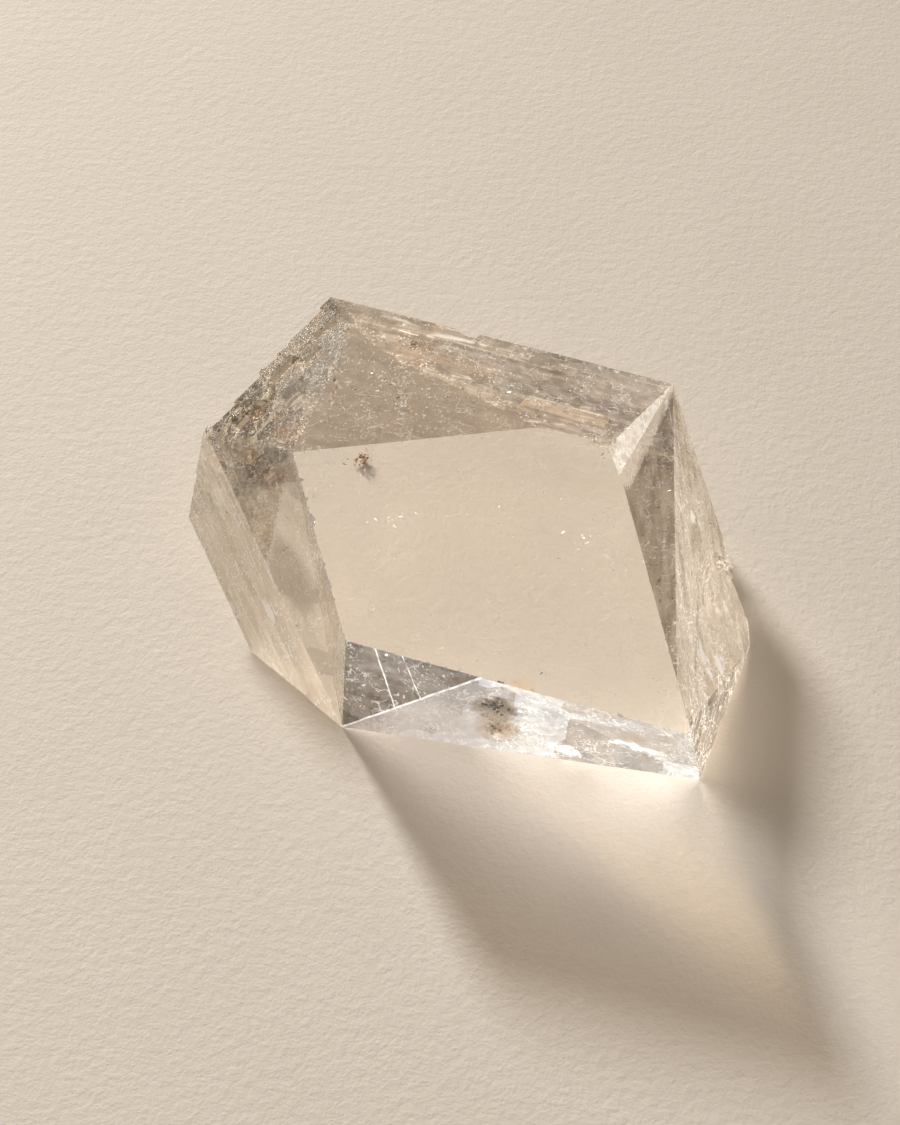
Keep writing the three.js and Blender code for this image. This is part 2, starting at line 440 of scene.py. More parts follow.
# Clouds of thin cracks shut inside the crystal, in millimetres: how many, their middle, their spread along
# X, Y and Z, their least and greatest size, how far they lean from the splitting directions, and how dusty
# they are, where None leaves it to chance.
CLOUDS = [
    (420, (-8.0, 24.5, 6.5), (7.5, 2.2, 2.6), (0.10, 0.75), 0.45, None),
    (260, (10.0, 20.5, 10.0), (8.5, 1.6, 2.8), (0.10, 0.8), 0.4, None),
    (260, (-22.0, 18.0, 9.5), (4.2, 5.5, 3.4), (0.12, 1.0), 0.5, None),
    (120, (2.0, 0.0, 8.0), (12.0, 11.0, 4.5), (0.06, 0.34), 0.6, None),
    (160, (-1.0, -23.8, 5.0), (4.5, 0.8, 2.4), (0.10, 0.7), 0.4, None),
    (26, (-9.5, 2.0, 6.0), (1.5, 0.7, 0.5), (0.10, 0.5), 0.6, 1.0),
    (26, (13.5, -1.5, 6.0), (1.6, 0.7, 0.5), (0.10, 0.5), 0.6, 1.0),
    (130, (21.0, 12.0, 11.0), (2.2, 2.6, 2.2), (0.10, 0.7), 0.5, None),
    (240, (27.0, -5.0, 6.0), (2.0, 8.0, 2.6), (0.10, 0.8), 0.5, None),
    (140, (-24.0, -3.0, 6.0), (3.0, 6.5, 3.0), (0.10, 0.6), 0.5, None),
]
DUSTY_SIZE = 0.35 * MM  # only cracks smaller than this may be dusty by chance


def scattered(rng, middle, spread):
    """A place in metres, scattered about a middle in millimetres."""
    return Vector([m + rng.gauss(0, 1) * s for m, s in zip(middle, spread)]) * MM


def add_flakes(work, surface, rng):
    """Thin cracks shut inside the crystal: flat closed hollows, so they shine where they face a light.

    All draws for a flake come before the test that may drop it, so that dropping one leaves the rest alone.
    """
    finish = work.faces.layers.int["finish"]
    dusty = work.faces.layers.float.new("dusty")
    for count, middle, spread, sizes, leaning_by, dustiness in CLOUDS:
        least, most = (size * MM for size in sizes)
        for _ in range(count):
            centre = scattered(rng, middle, spread)
            size = least + (most - least) * rng.random() ** 3
            long = size * rng.uniform(1, 2.4)
            lean = Vector([rng.gauss(0, 1) * leaning_by for _ in range(3)])
            normal = (rng.choice((ALONG, ACROSS, PLUNGE, PLUNGE)) + lean).normalized()
            side = normal.orthogonal().normalized()
            side.rotate(Matrix.Rotation(rng.uniform(0, math.tau), 3, normal))
            other = normal.cross(side)
            corners = rng.randint(5, 8)
            rim = []
            for i in range(corners):
                angle = math.tau * (i + rng.uniform(-0.3, 0.3)) / corners
                out = rng.uniform(0.6, 1.0) / 2
                rim.append(centre + side * math.cos(angle) * out * long
                           + other * math.sin(angle) * out * size)
            chance = rng.random() ** 2 if size < DUSTY_SIZE else 0.0
            if not inside(surface, centre, long * 0.6 + 0.05 * MM):
                continue
            thick = 0.008 * MM + size * 0.02
            ring = [work.verts.new(point) for point in rim]
            top, bottom = (work.verts.new(centre + normal * off) for off in (thick, -thick))
            for i in range(corners):
                here, after = ring[i], ring[(i + 1) % corners]
                for around in ((top, after, here), (bottom, here, after)):
                    face = work.faces.new(around)
                    face[finish] = CRACK
                    face[dusty] = chance if dustiness is None else dustiness


# Foreign matter shut inside, in millimetres: finish, how many lumps, their middle, their spread, and their
# least and greatest size. Where the middle's Y is a Depth, they lie that far behind the front break.
Depth = namedtuple("Depth", "behind_front")
LUMPS = [
    (INCLUSION, 56, (3.1, Depth(0.7), 9.5), (0.66, 0.16, 0.85), (0.35, 1.10)),
    (INCLUSION, 6, (1.5, Depth(0.5), 7.4), (0.12, 0.1, 0.18), (0.4, 0.75)),
    (INCLUSION, 70, (2.9, Depth(0.4), 4.8), (0.6, 0.12, 1.2), (0.10, 0.42)),
    (INCLUSION, 14, (5.4, Depth(0.8), 7.2), (0.9, 0.2, 1.2), (0.06, 0.22)),
    (INCLUSION, 5, (13.9, Depth(0.5), 1.6), (0.2, 0.1, 0.2), (0.12, 0.26)),
    (INCLUSION, 26, (8.0, 2.0, 8.0), (11.0, 12.0, 4.0), (0.04, 0.13)),
    (INCLUSION, 12, (-27.0, 2.0, 9.0), (1.0, 4.0, 2.0), (0.06, 0.2)),
    (RUST, 56, (-13.2, 14.1, 0.6), (0.42, 0.6, 0.25), (0.16, 0.62)),
    (RUST, 9, (24.4, 15.6, 12.6), (0.7, 0.7, 0.7), (0.05, 0.14)),
]
LUMP_CORNERS = 14
IN_FRONT = -60  # a Y well in front of the crystal, in millimetres


def add_lumps(work, surface, rng):
    """Small dark lumps of other minerals, each a closed many-sided grain."""
    layer = work.faces.layers.int["finish"]
    for finish, count, (x, y, z), spread, (least, most) in LUMPS:
        if isinstance(y, Depth):
            hit = surface.ray_cast(Vector((x, IN_FRONT, z)) * MM, Vector((0, 1, 0)))[0]
            y = hit.y / MM + y.behind_front
        for _ in range(count):
            centre = scattered(rng, (x, y, z), spread)
            size = (least + (most - least) * rng.random() ** 1.5) * MM
            points = []
            for _ in range(LUMP_CORNERS):
                way = Vector([rng.gauss(0, 1) for _ in range(3)]).normalized()
                points.append(centre + Vector((way.x, way.y, way.z * 0.8)) * size * rng.uniform(0.38, 0.55))
            if inside(surface, centre, size * 0.8 + 0.02 * MM):
                for face in add_hull(work, points):
                    face[layer] = finish


def soften_edges(mesh):
    """A worn width of about a tenth of a millimetre on the long sharp edges, which catches the light."""
    worn, long_enough, sharp_enough = 0.07 * MM, 3.5 * MM, 8
    work = bmesh.new()
    work.from_mesh(mesh)
    bmesh.ops.remove_doubles(work, verts=work.verts, dist=0.002 * MM)
    bmesh.ops.dissolve_limit(work, angle_limit=math.radians(0.4), verts=work.verts, edges=work.edges)
    edges = [edge for edge in work.edges
             if edge.is_convex and edge.calc_length() > long_enough
             and math.degrees(edge.calc_face_angle(0)) > sharp_enough]
    bmesh.ops.bevel(
        work, geom=edges, offset=worn, segments=1, profile=0.5, affect="EDGES", clamp_overlap=True)
    bmesh.ops.triangulate(work, faces=work.faces)
    work.to_mesh(mesh)
    work.free()


def finish_faces(block):
    """Numbers each face's finish: the one carved into it, or else the one that suits the way it faces."""
    carved = block.data.attributes["finish"].data
    for polygon, layer in zip(block.data.polygons, carved):
        if layer.value:
            layer.value -= 1
        else:
            layer.value = zone_of(polygon.normal, polygon.center, polygon.area)


def dress_faces(block, materials):
    """Gives each face its material, and the values of its finish for the material to read."""
    mesh = block.data
    finishes = np.zeros(len(mesh.polygons), dtype=np.int32)
    mesh.attributes["finish"].data.foreach_get("value", finishes)
    mesh.attributes.remove(mesh.attributes["finish"])
    mesh.materials.clear()
    for name in ("calcite", "inclusion", "rust"):
        mesh.materials.append(materials[name])
    slots = np.where(finishes == INCLUSION, 1, np.where(finishes == RUST, 2, 0)).astype(np.int32)
    mesh.polygons.foreach_set("material_index", slots)
    mesh.polygons.foreach_set("use_smooth", np.zeros(len(slots), dtype=bool))
    skins = [{**BARE, **SKINS.get(name, {})} for name in FINISHES]
    for key, plain in BARE.items():
        values = np.array([skin[key] for skin in skins], dtype=np.float32)[finishes]
        if isinstance(plain, tuple):
            mesh.attributes.new(key, "FLOAT_VECTOR", "FACE").data.foreach_set("vector", values.ravel())
        else:
            mesh.attributes.new(key, "FLOAT", "FACE").data.foreach_set("value", values)


def fill(block, rng):
    """Shuts the thin cracks and the foreign matter inside the block."""
    work = bmesh.new()
    work.from_mesh(block.data)
    surface = BVHTree.FromBMesh(work)
    add_flakes(work, surface, rng)
    add_lumps(work, surface, rng)
    work.to_mesh(block.data)
    work.free()


def crystal_block(materials):
    """The CAD's own solid with worn edges, finer steps and chips, and what is shut inside it."""
    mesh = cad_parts["crystal"].data.copy()
    mesh.name = "spar_block"
    mesh.materials.clear()
    soften_edges(mesh)
    mesh.attributes.new("finish", "INT", "FACE")
    block = bpy.data.objects.new("spar_block", mesh)
    scene.collection.objects.link(block)

    rng = random.Random(SEED)
    wall_spans = ((ACROSS, 0.5 * MM, 3.2 * MM), (PLUNGE, 0.4 * MM, 3.4 * MM))
    for _ in range(4):  # in rounds, so that steps are cut into steps
        split_faces(block, rng, 80, "wall_left", -ALONG, wall_spans,
                    bite=(0.03 * MM, 0.28 * MM), lowest=8.5 * MM)
    back_spans = ((ALONG, 1.2 * MM, 6.0 * MM), (PLUNGE, 0.3 * MM, 1.6 * MM))
    split_faces(block, rng, 30, "wall_back", ACROSS, back_spans, bite=(0.02 * MM, 0.06 * MM))
    by_the_top, under_the_top = 15.2 * MM, 15.6 * MM
    chip_edges(block, rng, 520, (0.10 * MM, 0.75 * MM), keep=lambda place: place.z > by_the_top)
    chip_edges(block, rng, 200, (0.08 * MM, 0.36 * MM), keep=lambda place: place.z < under_the_top)
    finish_faces(block)
    fill(block, rng)
    dress_faces(block, materials)
    return block


# ---------------------------------------------------------------- finishes and materials
CLEAR = (0.97, 0.965, 0.955)
CREAM = (1.0, 0.955, 0.89)
HONEY = (1.0, 0.925, 0.815)
COOL = (0.93, 0.965, 1.0)
WHITE = (1.0, 0.985, 0.96)
# The tint in which lamp light leaves the stone for the paper.
SCREENED = (0.25, 0.20, 0.155)  # through most faces
OPEN = (0.92, 0.90, 0.87)  # through the rough walls, where steps make it leave and come back
FLAT = (0.40, 0.385, 0.365)  # through the underside and the chips
FREE = (0.98, 0.97, 0.95)  # on its way in, and across a crack
FAN = (0.74, 0.62, 0.43)  # through the front break, where the fan of light comes out

# What a face's finish is made of, and its plain values.
BARE = {
    "run": (0.0, 0.0, 0.0),  # the way its ribs run; none leaves them as mottling
    "grain": 1.0,  # ribs or mottles in a millimetre
    "dark": CLEAR,  # tint in the ribs' hollows
    "light": CLEAR,  # tint on their crests
    "frost": 0.0,  # least share that is crazed
    "frosting": 0.0,  # how much more of it is crazed on the crests
    "hazy": 0.0,  # how far cleavage patches differ in that
    "patch": 0.0,  # how much darker some of them are
    "thread": 0.0,  # how strongly thin white cracks show
    "sparse": 0.0,  # how rare they are
    "dim": WHITE,  # the two colours of what is crazed
    "glow": WHITE,
    "spark": WHITE,  # colour of the thin cracks
    "relief": 0.0,  # height of the ribs
    "lumps": 0.0,  # height of broad swellings
    "rough": 0.008,
    "passed": SCREENED,
    "fan": 0.0,  # 1 where the front break may let the lamp through
    "pale": 0.0,  # 1 on the facet with a pale upper end
    "lift": 0.0,  # 1 where the tint is lighter towards the foot
}
LEFT_RIBS, RIGHT_RIBS, BACK_RIBS = (tuple(run.normalized()) for run in (LEFT_RUN, RIGHT_RUN, ALONG))
SKINS = {
    "clear_top": {"grain": 0.35, "thread": 0.10, "sparse": 0.10, "lumps": 0.03},
    "underside": {"grain": 0.3, "thread": 0.12, "sparse": 0.12, "lumps": 0.03, "passed": FLAT},
    # Painted shade: the ledge's dark brown tints stand for the dark that shows through it.
    "ledge": {
        "run": RIGHT_RIBS, "dark": (0.13, 0.10, 0.072), "light": (0.28, 0.23, 0.175), "frosting": 0.12,
        "thread": 0.30, "sparse": 0.04, "relief": 0.4, "rough": 0.02, "pale": 1.0},
    "bevel": {
        "dark": (0.97, 0.93, 0.87), "light": (1.0, 0.98, 0.94), "frost": 0.40, "frosting": 0.35,
        "thread": 0.5, "relief": 1.0, "rough": 0.04},
    "strip_inner": {
        "run": LEFT_RIBS, "grain": 1.1, "dark": (0.68, 0.61, 0.52), "light": (0.92, 0.86, 0.77),
        "frost": 0.10, "frosting": 0.14, "patch": 0.46, "thread": 0.36, "sparse": 0.02, "dim": CREAM,
        "glow": CREAM, "relief": 0.3, "lumps": 0.2, "rough": 0.03},
    "strip_outer": {
        "run": LEFT_RIBS, "grain": 1.1, "dark": (0.96, 0.88, 0.76), "light": (1.0, 0.97, 0.89),
        "frost": 0.42, "frosting": 0.28, "thread": 0.65, "dim": HONEY, "glow": HONEY, "relief": 0.5,
        "lumps": 0.6, "rough": 0.05},
    "pane_left": {
        "run": LEFT_RIBS, "grain": 1.1, "dark": (0.64, 0.565, 0.475), "light": (0.80, 0.715, 0.61),
        "frost": 0.12, "frosting": 0.16, "patch": 0.3, "thread": 0.4, "dim": CREAM, "glow": CREAM,
        "relief": 0.3, "rough": 0.02},
    "wall_left": {
        "grain": 0.6, "dark": (0.155, 0.11, 0.064), "light": (0.35, 0.27, 0.18), "frost": 0.06,
        "frosting": 0.10, "thread": 0.40, "sparse": -0.01, "dim": (0.20, 0.145, 0.093),
        "glow": (0.40, 0.31, 0.215), "spark": (1.0, 0.93, 0.82), "relief": 0.4, "lumps": 0.9,
        "rough": 0.05, "lift": 1.0, "passed": OPEN},
    # Painted shade: the undercut's brown tints stand for shadowed paper seen through it.
    "undercut": {
        "run": BACK_RIBS, "grain": 0.8, "dark": (0.29, 0.23, 0.17), "light": (0.41, 0.34, 0.26),
        "frost": 0.04, "frosting": 0.12, "hazy": 0.08, "patch": 0.22, "thread": 0.24, "sparse": 0.02,
        "dim": (0.60, 0.51, 0.40), "glow": (0.80, 0.70, 0.58), "relief": 0.3, "rough": 0.05,
        "passed": OPEN},
    # Painted shade: the back wall's brown tints stand for shadowed paper seen through it.
    "wall_back": {
        "run": BACK_RIBS, "grain": 0.9, "dark": (0.44, 0.345, 0.25), "light": (0.92, 0.79, 0.64),
        "frost": 0.26, "frosting": 0.26, "patch": 0.20, "thread": 0.30, "sparse": 0.02,
        "dim": (0.46, 0.36, 0.26), "glow": (0.80, 0.66, 0.52), "spark": (1.0, 0.94, 0.86),
        "relief": 0.35, "lumps": 0.5, "rough": 0.04, "passed": OPEN},
    "flank_right": {
        "run": RIGHT_RIBS, "grain": 1.1, "dark": (0.46, 0.385, 0.30), "light": (0.93, 0.875, 0.80),
        "frost": 0.04, "frosting": 0.26, "thread": 0.4, "dim": CREAM, "glow": CREAM, "relief": 0.9,
        "lumps": 0.6, "rough": 0.04, "passed": (0.03, 0.02, 0.01)},
    # Painted reflection: the mirror's dark blue-grey tints stand for a dark room reflected in it.
    "mirror": {
        "dark": (0.095, 0.10, 0.118), "light": (0.17, 0.182, 0.212), "frosting": 0.03, "hazy": 0.07,
        "thread": 0.42, "sparse": 0.04, "dim": COOL, "glow": COOL, "spark": COOL, "relief": 0.04,
        "rough": 0.01},
    "front": {
        "dark": (0.76, 0.81, 0.90), "light": (0.85, 0.90, 0.97), "frost": 0.06, "frosting": 0.12,
        "hazy": 0.42, "thread": 0.40, "sparse": 0.03, "dim": (0.64, 0.70, 0.80),
        "glow": (0.84, 0.91, 1.0), "spark": (0.95, 0.98, 1.0), "relief": 0.1, "lumps": 0.4,
        "rough": 0.02, "fan": 1.0},
    "chip": {
        "grain": 1.6, "frost": 0.05, "frosting": 0.4, "thread": 0.3, "relief": 0.1, "fan": 1.0,
        "passed": FLAT},
    "crack": {"passed": FREE},
}

# Places with a look of their own, in millimetres.
# The round ones: middle, reach, and how much further each fades.
SPOTS = {
    "cloud": ((-9.0, 24.0, 6.0), 3.0, 7.0),  # white specks in the back wall
    "glints": ((29.5, -21.0, 7.0), 8.0, 4.0),  # more white cracks by the right corner: partly real crazing, partly painted glints
    "honey": ((36.0, -7.5, 10.6), 6.5, 4.0),  # a honey-coloured stretch of the right flank
    "veil": ((3.0, -26.8, 4.6), 1.5, 2.0),  # brown, under the inclusion
    "shade": ((19.5, -27.5, 9.5), 1.4, 2.2),  # a clearer patch right of the middle of the front
    "nook": ((-17.5, 32.5, 12.0), 3.2, 2.4),  # painted shade: brown, where the two rough walls meet
}
# The clear window in the front that shows the inclusion, its rim uneven.
CLEARING = ((2.8, -25.9, 9.2), 1.2, 1.9)
# Straight cracks on the front, each a line through two points, and how far from it it has faded.
SEAMS = [
    ((-15.2, -21.7, 0.0), (1.37, -26.7, 16.0), 0.20),  # between the mirror and the facet under it
    ((-10.9, -22.42, 16.0), (-8.6, -23.7, 5.8), 0.13),
    ((-7.7, -23.54, 16.0), (-5.3, -24.76, 8.0), 0.10),
]
# Long rounded patches of white frost, painted highlights: middle, run, half length and half width.
LENSES = [
    ((27.5, -15.9, 7.8), (0.35, -0.85, -0.3), 2.7, 1.25),
    ((30.0, -16.2, 4.9), (-0.35, -0.85, -0.3), 2.6, 1.2),
    ((28.6, -18.6, 6.6), (-0.30, -0.85, -0.3), 2.2, 0.85),
    ((31.4, -5.6, 3.2), (0.5, -0.8, -0.3), 1.0, 0.6),
    ((32.2, -7.6, 2.6), (0.5, -0.8, -0.3), 0.8, 0.55),
    ((30.4, -9.9, 4.0), (0.5, -0.8, -0.3), 0.9, 0.55),
    ((28.0, 4.6, 10.8), (0.1, -0.9, -0.3), 0.7, 0.5),
    ((27.1, 1.4, 11.5), (0.1, -0.9, -0.3), 1.0, 0.7),
    ((11.4, -26.8, 2.2), (0.95, -0.1, -0.3), 2.4, 1.2),
    ((19.6, -29.4, 5.6), (0.95, -0.3, -0.1), 3.8, 1.5),
    ((3.4, -26.0, 3.2), (0.4, 0.0, -0.9), 1.5, 0.8),
]
# Spots along an edge painted amber, a painted warm glow: middle and reach.
AMBER = [
    ((5.8, -28.0, 15.0), 0.9),
    ((25.9, 20.0, 14.0), 1.1),
    ((26.6, -32.6, 3.0), 1.4),
    ((-24.5, 1.0, 9.0), 1.0),
]
# Brown patches in the right flank, painted shade: middle, run, half length and half width.
SHADE_PATCHES = [
    ((27.8, -1.0, 10.6), RIGHT_RUN, 5.5, 1.0),
    ((30.6, 3.4, 7.0), RIGHT_RUN, 5.0, 1.2),
    ((26.6, -13.0, 8.8), RIGHT_RUN, 5.5, 0.9),
    ((28.6, -24.5, 6.4), RIGHT_RUN, 3.5, 0.8),
]
# Grey panes in the left flank: middle, run, half length and half width.
PANES = [
    ((-21.4, -5.0, 8.4), LEFT_RUN, 6.4, 2.4),
    ((-26.0, 7.1, 14.4), LEFT_RUN, 3.0, 1.8),
]

# How much more of the surface is crazed at a mark, or how much less.
FROSTS = {
    "lenses": 0.9, "pale": 0.35, "shade": -0.4, "veil": -0.35, "honey": 0.14, "shade_patches": -0.12,
    "clearing": -0.9, "nook": -0.15, "dull": 0.16, "panes": -0.2,
}
MOST_FROST = 0.92
# Colours laid over the tint in turn: mark, how strongly, and colour.
TINTS = [
    ("patches", 1.0, (0.10, 0.085, 0.07)),
    ("pale", 1.0, (0.95, 0.91, 0.85)),
    ("lift", 1.0, (1.0, 0.94, 0.85)),
    ("dull", 0.85, (0.37, 0.375, 0.41)),
    # painted shade in the corner where the rough walls meet
    ("nook", 0.35, (0.24, 0.185, 0.125)),
    ("panes", 0.92, (0.41, 0.36, 0.31)),
    # painted shade on the right flank
    ("shade_patches", 0.8, (0.40, 0.315, 0.23)),
    ("honey", 0.7, (1.0, 0.91, 0.76)),
    # painted glow along edges
    ("amber", 0.8, (0.98, 0.76, 0.48)),
    ("veil", 0.85, (0.52, 0.42, 0.31)),
]
# The same, laid over the colour of what is crazed.
SCATTERS = [
    # painted highlights
    ("lenses", 1.0, (0.96, 0.98, 1.0)),
    ("veil", 0.85, (0.46, 0.38, 0.29)),
    ("dull", 0.85, (0.42, 0.415, 0.44)),
]

SPAR_IOR = 1.6  # between calcite's two
ABSORBS = {"Color": (0.93, 0.85, 0.74, 1), "Density": 6.0}
GATHER = 0.5  # how far frost takes in light that comes from the side or from behind it
SENT_BACK = 0.35  # share of the light that frost sends back; the rest goes on through it


def share(tree, name):
    """A value of the face's finish that is a number."""
    return node(tree, "ShaderNodeAttribute", attribute_name=name).outputs["Fac"]


def colour(tree, name):
    """A value of the face's finish that is a colour."""
    return node(tree, "ShaderNodeAttribute", attribute_name=name).outputs["Color"]


def drawn_out(tree, place, grain, stretch):
    """The place in grains, drawn out along the face's own run where it has one."""
    run = node(tree, "ShaderNodeAttribute", attribute_name="run").outputs["Vector"]
    shortened = times(tree, vector_math(tree, "DOT_PRODUCT", place, run), stretch - 1.0)
    back = vector_math(tree, "SCALE", run, scale=shortened)
    return vector_math(tree, "SCALE", vector_math(tree, "ADD", place, back), scale=grain)


def skin_patterns(tree, place):
    """The patterns that run over every face, each a socket."""
    drawn = drawn_out(tree, place, share(tree, "grain"), 0.07)
    loose = shaken(tree, place, 0.8, 1.0)
    rib = noise(tree, drawn, 1.0, 4, 0.62, 0.3)
    swell = noise(tree, place, 0.5, 3, 0.55, 0.6)
    sparse = share(tree, "sparse")
    broken = ramp(tree, swell, 0.44, 0.58, 0.12, 1.0)
    net = highest(
        tree,
        cracks(tree, loose, 0.55, 0.026, 0.48, sparse),
        times(tree, cracks(tree, drawn, 0.75, 0.045, 0.48, sparse), broken),
        specks(tree, place, 2.8, 0.61, sparse))
    return SimpleNamespace(
        loose=loose, rib=rib, crest=ramp(tree, rib, 0.38, 0.64), swell=swell, net=net,
        patch=mosaic(tree, place, ((ALONG, 0.13), (ACROSS, 0.14), (PLUNGE, 0.14)), 0.8))


def skin_marks(tree, place, skin):
    """The places with a look of their own, each a socket that is 1 there and 0 elsewhere."""
    x, y, z = parts(tree, place)
    over_ledge = total(tree, y, (x, -2.34))  # grows from the ledge's outer side to its inner one
    steady = shaken(tree, place, 0.4, 0.12)
    # The lenses are painted highlights: white frost where glints show.
    lenses = highest(tree, *(lens(tree, skin.loose, *one) for one in LENSES))
    edge_glows = [nearness(tree, skin.loose, middle, reach, reach * 1.4) for middle, reach in AMBER]
    far_end = times(tree, ramp(tree, over_ledge, -42.2, -40.4), ramp(tree, y, 4.0, 5.4))
    return {
        **{name: nearness(tree, place, *measures) for name, measures in SPOTS.items()},
        "clearing": nearness(tree, skin.loose, *CLEARING),
        "seams": highest(tree, *(line_through(tree, steady, *seam) for seam in SEAMS)),
        "lenses": times(tree, lenses, ramp(tree, skin.rib, 0.36, 0.58, 0.3, 1.0)),
        "panes": highest(tree, *(lens(tree, place, *one) for one in PANES)),
        "shade_patches": highest(tree, *(lens(tree, skin.loose, *one) for one in SHADE_PATCHES)),
        "amber": highest(tree, *edge_glows),
        "dull": times(tree, share(tree, "fan"), ramp(tree, x, 4.5, -1.0)),  # the front's greyer left side
        "pale": times(tree, share(tree, "pale"), far_end),
        "lift": times(tree, share(tree, "lift"), ramp(tree, z, 9.5, 5.0)),
        "patches": times(tree, share(tree, "patch"), ramp(tree, skin.patch, 0.60, 0.62)),
    }


def frost_share(tree, skin, marks):
    """How much of the surface is crazed: in bands, in cleavage patches, and along thin cracks."""
    showing = total(
        tree, share(tree, "thread"), (marks["cloud"], 0.3), (marks["pale"], 0.4), (marks["glints"], 0.35))
    seams = times(tree, marks["seams"], ramp(tree, skin.rib, 0.35, 0.6, 0.35, 0.9))
    frost = total(
        tree, share(tree, "frost"), (skin.crest, share(tree, "frosting")),
        (skin.patch, share(tree, "hazy")), highest(tree, times(tree, skin.net, showing), seams),
        *((marks[name], more) for name, more in FROSTS.items()), (share(tree, "dusty"), 0.75))
    return math_node(tree, "MINIMUM", math_node(tree, "MAXIMUM", frost, 0.0), MOST_FROST)


def mixed(tree, factor, first, second):
    """A shader between two; the factor is a socket or a number."""
    mix = node(tree, "ShaderNodeMixShader")
    if isinstance(factor, float):
        mix.inputs[0].default_value = factor
    else:
        link(tree, factor, mix.inputs[0])
    link(tree, first, mix.inputs[1])
    link(tree, second, mix.inputs[2])
    return mix.outputs[0]


def clear_glass(tree, skin, marks, normal):
    """The clear stone, which tints what comes through it."""
    tint = blend(tree, skin.crest, colour(tree, "dark"), colour(tree, "light"))
    glass = node(tree, "ShaderNodeBsdfPrincipled", {"IOR": SPAR_IOR, "Transmission Weight": 1.0})
    link(tree, layered(tree, tint, marks, TINTS), glass.inputs["Base Color"])
    link(tree, share(tree, "rough"), glass.inputs["Roughness"])
    link(tree, normal, glass.inputs["Normal"])
    return glass.outputs[0]


def leaning(tree, normal, push):
    """A normal tipped by a push, so that a rough layer gathers more of the light from there."""
    return vector_math(tree, "NORMALIZE", vector_math(tree, "ADD", normal, push))


def frosted_skin(tree, skin, marks, normal):
    """What is crazed: it scatters light on through it, or back."""
    scatter = blend(tree, ramp(tree, skin.swell, 0.42, 0.58), colour(tree, "dim"), colour(tree, "glow"))
    scatter = blend(tree, highest(tree, skin.net, marks["seams"]), scatter, colour(tree, "spark"))
    scatter = layered(tree, scatter, marks, SCATTERS)
    layers = []
    for kind, lean in (("ShaderNodeBsdfTranslucent", -GATHER), ("ShaderNodeBsdfDiffuse", GATHER)):
        shader = node(tree, kind)
        link(tree, scatter, shader.inputs["Color"])
        link(tree, leaning(tree, normal, TOWARD_KEY * lean), shader.inputs["Normal"])
        layers.append(shader.outputs[0])
    return mixed(tree, SENT_BACK, *layers)


def fan_of_light(tree, place):
    """1 where the front break lets the lamp through to the paper, in streaks, and 0 elsewhere."""
    x, _, z = parts(tree, place)
    rising = total(tree, x, (z, -1.35))  # so that the fan's left side leans to the right as it climbs
    streak = ramp(tree, noise(tree, along(tree, place, UP, 0.05, 0.45), 1.0, 3), 0.3, 0.7, 0.45, 1.0)
    return times(
        tree, share(tree, "fan"), ramp(tree, rising, -2.5, 3.0), ramp(tree, x, 26.0, 23.0),
        ramp(tree, z, 13.0, 8.0), ramp(tree, z, 1.5, 6.5, 0.08, 1.0), streak)


def lamp_window(tree, place):
    """What a lamp's light meets: it enters freely, and leaves for the paper in the tint the face passes."""
    _, y, z = parts(tree, place)
    stronger = times(tree, ramp(tree, y, -28.0, 6.0, 0.6, 1.0), ramp(tree, z, 6.0, 14.0, 1.0, 1.9))
    passed = vector_math(tree, "SCALE", colour(tree, "passed"), scale=stronger)
    passed = blend(tree, fan_of_light(tree, place), passed, FAN)
    # A shadow ray runs from the paper to the lamp, so it meets the way in at the back of a face.
    way_in = node(tree, "ShaderNodeNewGeometry").outputs["Backfacing"]
    window = node(tree, "ShaderNodeBsdfTransparent")
    link(tree, blend(tree, way_in, passed, FREE), window.inputs["Color"])
    return window.outputs[0]


def calcite_material():
    """Clear calcite under its finishes: see-through by transmission, IOR and absorption."""
    material = bpy.data.materials.new("calcite")
    material.use_nodes = True
    tree = material.node_tree
    tree.nodes.clear()
    place = millimetres(tree)
    skin = skin_patterns(tree, place)
    marks = skin_marks(tree, place, skin)

    bump = node(tree, "ShaderNodeBump", {"Strength": 1.0, "Distance": 0.12 * MM})
    height = total(tree, (skin.rib, share(tree, "relief")), (skin.swell, share(tree, "lumps")),
                   (skin.patch, share(tree, "hazy")))
    link(tree, height, bump.inputs["Height"])
    normal = bump.outputs["Normal"]

    body = mixed(tree, frost_share(tree, skin, marks), clear_glass(tree, skin, marks, normal),
                 frosted_skin(tree, skin, marks, normal))
    for_lamps = node(tree, "ShaderNodeLightPath").outputs["Is Shadow Ray"]
    output = node(tree, "ShaderNodeOutputMaterial")
    link(tree, mixed(tree, for_lamps, body, lamp_window(tree, place)), output.inputs["Surface"])
    absorption = node(tree, "ShaderNodeVolumeAbsorption", ABSORBS)
    link(tree, absorption.outputs[0], output.inputs["Volume"])
    return material


def grain(name, low, high):
    """Opaque foreign matter."""
    material = bpy.data.materials.new(name)
    material.use_nodes = True
    tree = material.node_tree
    shader = tree.nodes["Principled BSDF"]
    value = noise(tree, millimetres(tree), 3.0, 3, 0.6)
    link(tree, blend(tree, ramp(tree, value, 0.4, 0.6), low, high), shader.inputs["Base Color"])
    shader.inputs["Roughness"].default_value = 0.55
    return material


def spar_materials():
    return {
        "calcite": calcite_material(),
        "inclusion": grain("inclusion", (0.05, 0.042, 0.034), (0.15, 0.125, 0.10)),
        "rust": grain("rust", (0.30, 0.15, 0.07), (0.52, 0.30, 0.15)),
    }


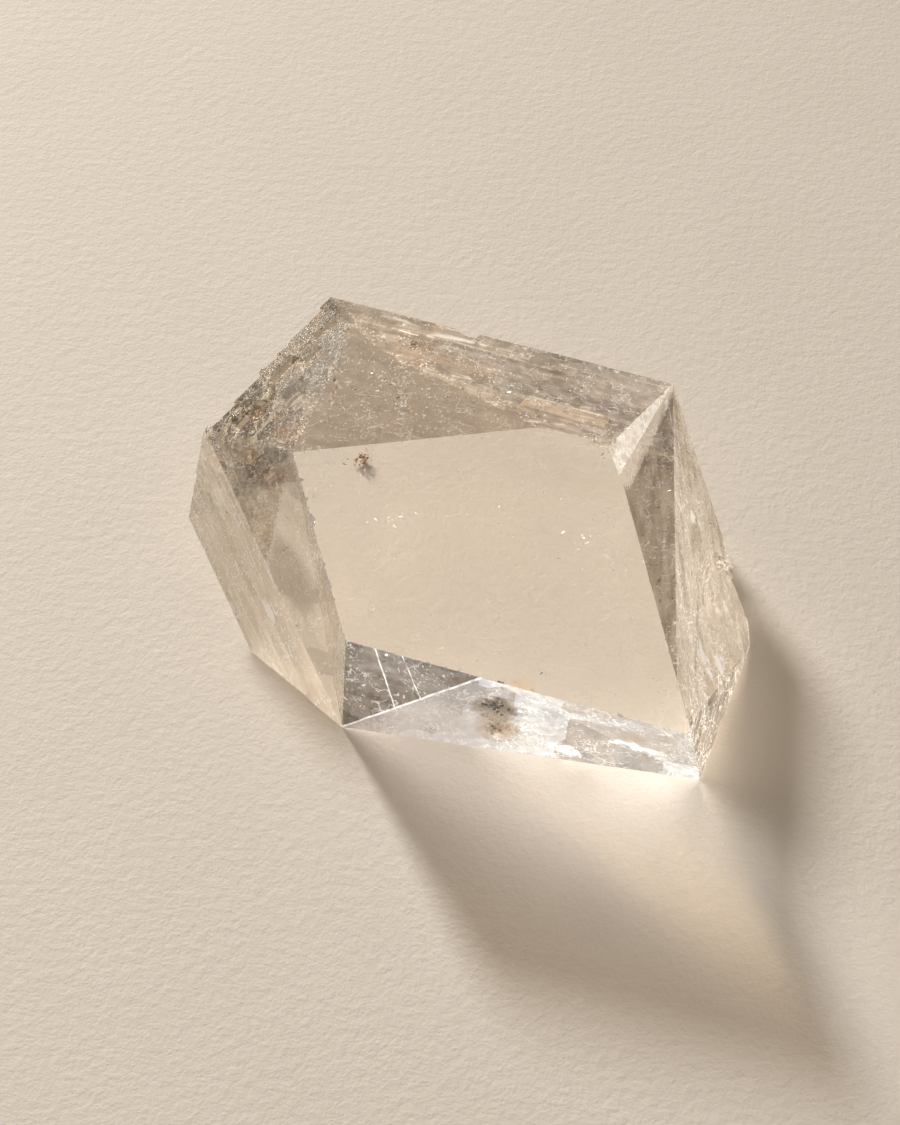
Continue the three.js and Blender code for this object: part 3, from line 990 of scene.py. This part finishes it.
def paper_material():
    material = bpy.data.materials.new("paper")
    material.use_nodes = True
    tree = material.node_tree
    shader = tree.nodes["Principled BSDF"]
    place = millimetres(tree)
    pulp = noise(tree, place, 0.75, 5, 0.6)
    fibres = noise(tree, place, 2.2, 3, 0.6)
    bump = node(tree, "ShaderNodeBump", {"Strength": 0.38, "Distance": 0.25 * MM})
    link(tree, total(tree, pulp, (fibres, 0.4)), bump.inputs["Height"])
    link(tree, bump.outputs["Normal"], shader.inputs["Normal"])
    broad = ramp(tree, noise(tree, place, 0.06, 4), 0.3, 0.7)
    link(tree, blend(tree, broad, (0.83, 0.765, 0.69), (0.85, 0.785, 0.71)), shader.inputs["Base Color"])
    shader.inputs["Roughness"].default_value = 0.9
    shader.inputs["Specular IOR Level"].default_value = 0.2
    return material


# ---------------------------------------------------------------- room, lights, camera
def add_floor():
    half = 3.0
    mesh = bpy.data.meshes.new("floor")
    corners = [(-half, -half, 0), (half, -half, 0), (half, half, 0), (-half, half, 0)]
    mesh.from_pydata(corners, [], [(0, 1, 2, 3)])
    floor = bpy.data.objects.new("floor", mesh)
    floor.location.z = -0.03 * MM  # just clear of the crystal's underside
    scene.collection.objects.link(floor)
    mesh.materials.append(paper_material())


def add_lamp():
    """One low warm lamp behind and to the left, as hard as a window some way off."""
    reach = 2.0
    brightest = Vector((-0.44, 0.0, 0.0))  # where its beam meets the paper, left of the crystal
    lamp = bpy.data.lights.new("key", "AREA")
    lamp.shape = "DISK"
    lamp.size = 0.32
    lamp.energy = KEY_WATTS
    lamp.color = (1.0, 0.955, 0.90)
    lamp.spread = math.radians(64)
    key = bpy.data.objects.new("key", lamp)
    key.location = TOWARD_KEY * reach
    beam = (key.location - brightest).normalized()
    key.rotation_euler = beam.to_track_quat("Z", "Y").to_euler()
    scene.collection.objects.link(key)


def add_room():
    """A dim room, brighter in one broad patch on the lamp's side."""
    world = bpy.data.worlds.new("studio")
    scene.world = world
    world.use_nodes = True
    tree = world.node_tree
    background = tree.nodes["Background"]
    direction = node(tree, "ShaderNodeTexCoord").outputs["Generated"]
    facing = vector_math(tree, "DOT_PRODUCT", direction, SKY_TOWARD)
    bright = math_node(tree, "POWER", ramp(tree, facing, 0.1, 1.0), 2.0)
    strength = math_node(tree, "ADD", times(tree, bright, SKY_BRIGHT), SKY_DIM)
    link(tree, strength, background.inputs["Strength"])
    background.inputs["Color"].default_value = (1.0, 0.87, 0.72, 1)
    world.cycles.sampling_method = "NONE"  # so dim and even that paths find it by themselves


def add_camera():
    """The photograph's viewing angle: a long lens, looking down from the front at 50 degrees."""
    elevation = math.radians(50)
    lens_length, sensor = 100.0, 36.0
    shown = 140.625  # millimetres at the crystal that the picture's long side takes in
    aim = Vector((-2.23, 3.99, 0)) * MM
    back = Vector((0, -math.cos(elevation), math.sin(elevation)))
    data = bpy.data.cameras.new("camera")
    data.lens = lens_length
    data.sensor_width = sensor
    data.clip_start = 0.01
    camera = bpy.data.objects.new("camera", data)
    camera.location = aim + back * (lens_length / sensor * shown * MM)
    camera.rotation_euler = back.to_track_quat("Z", "Y").to_euler()
    scene.collection.objects.link(camera)
    scene.camera = camera


block = crystal_block(spar_materials())
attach(block, "root")
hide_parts("crystal")

add_floor()
add_lamp()
add_room()
add_camera()
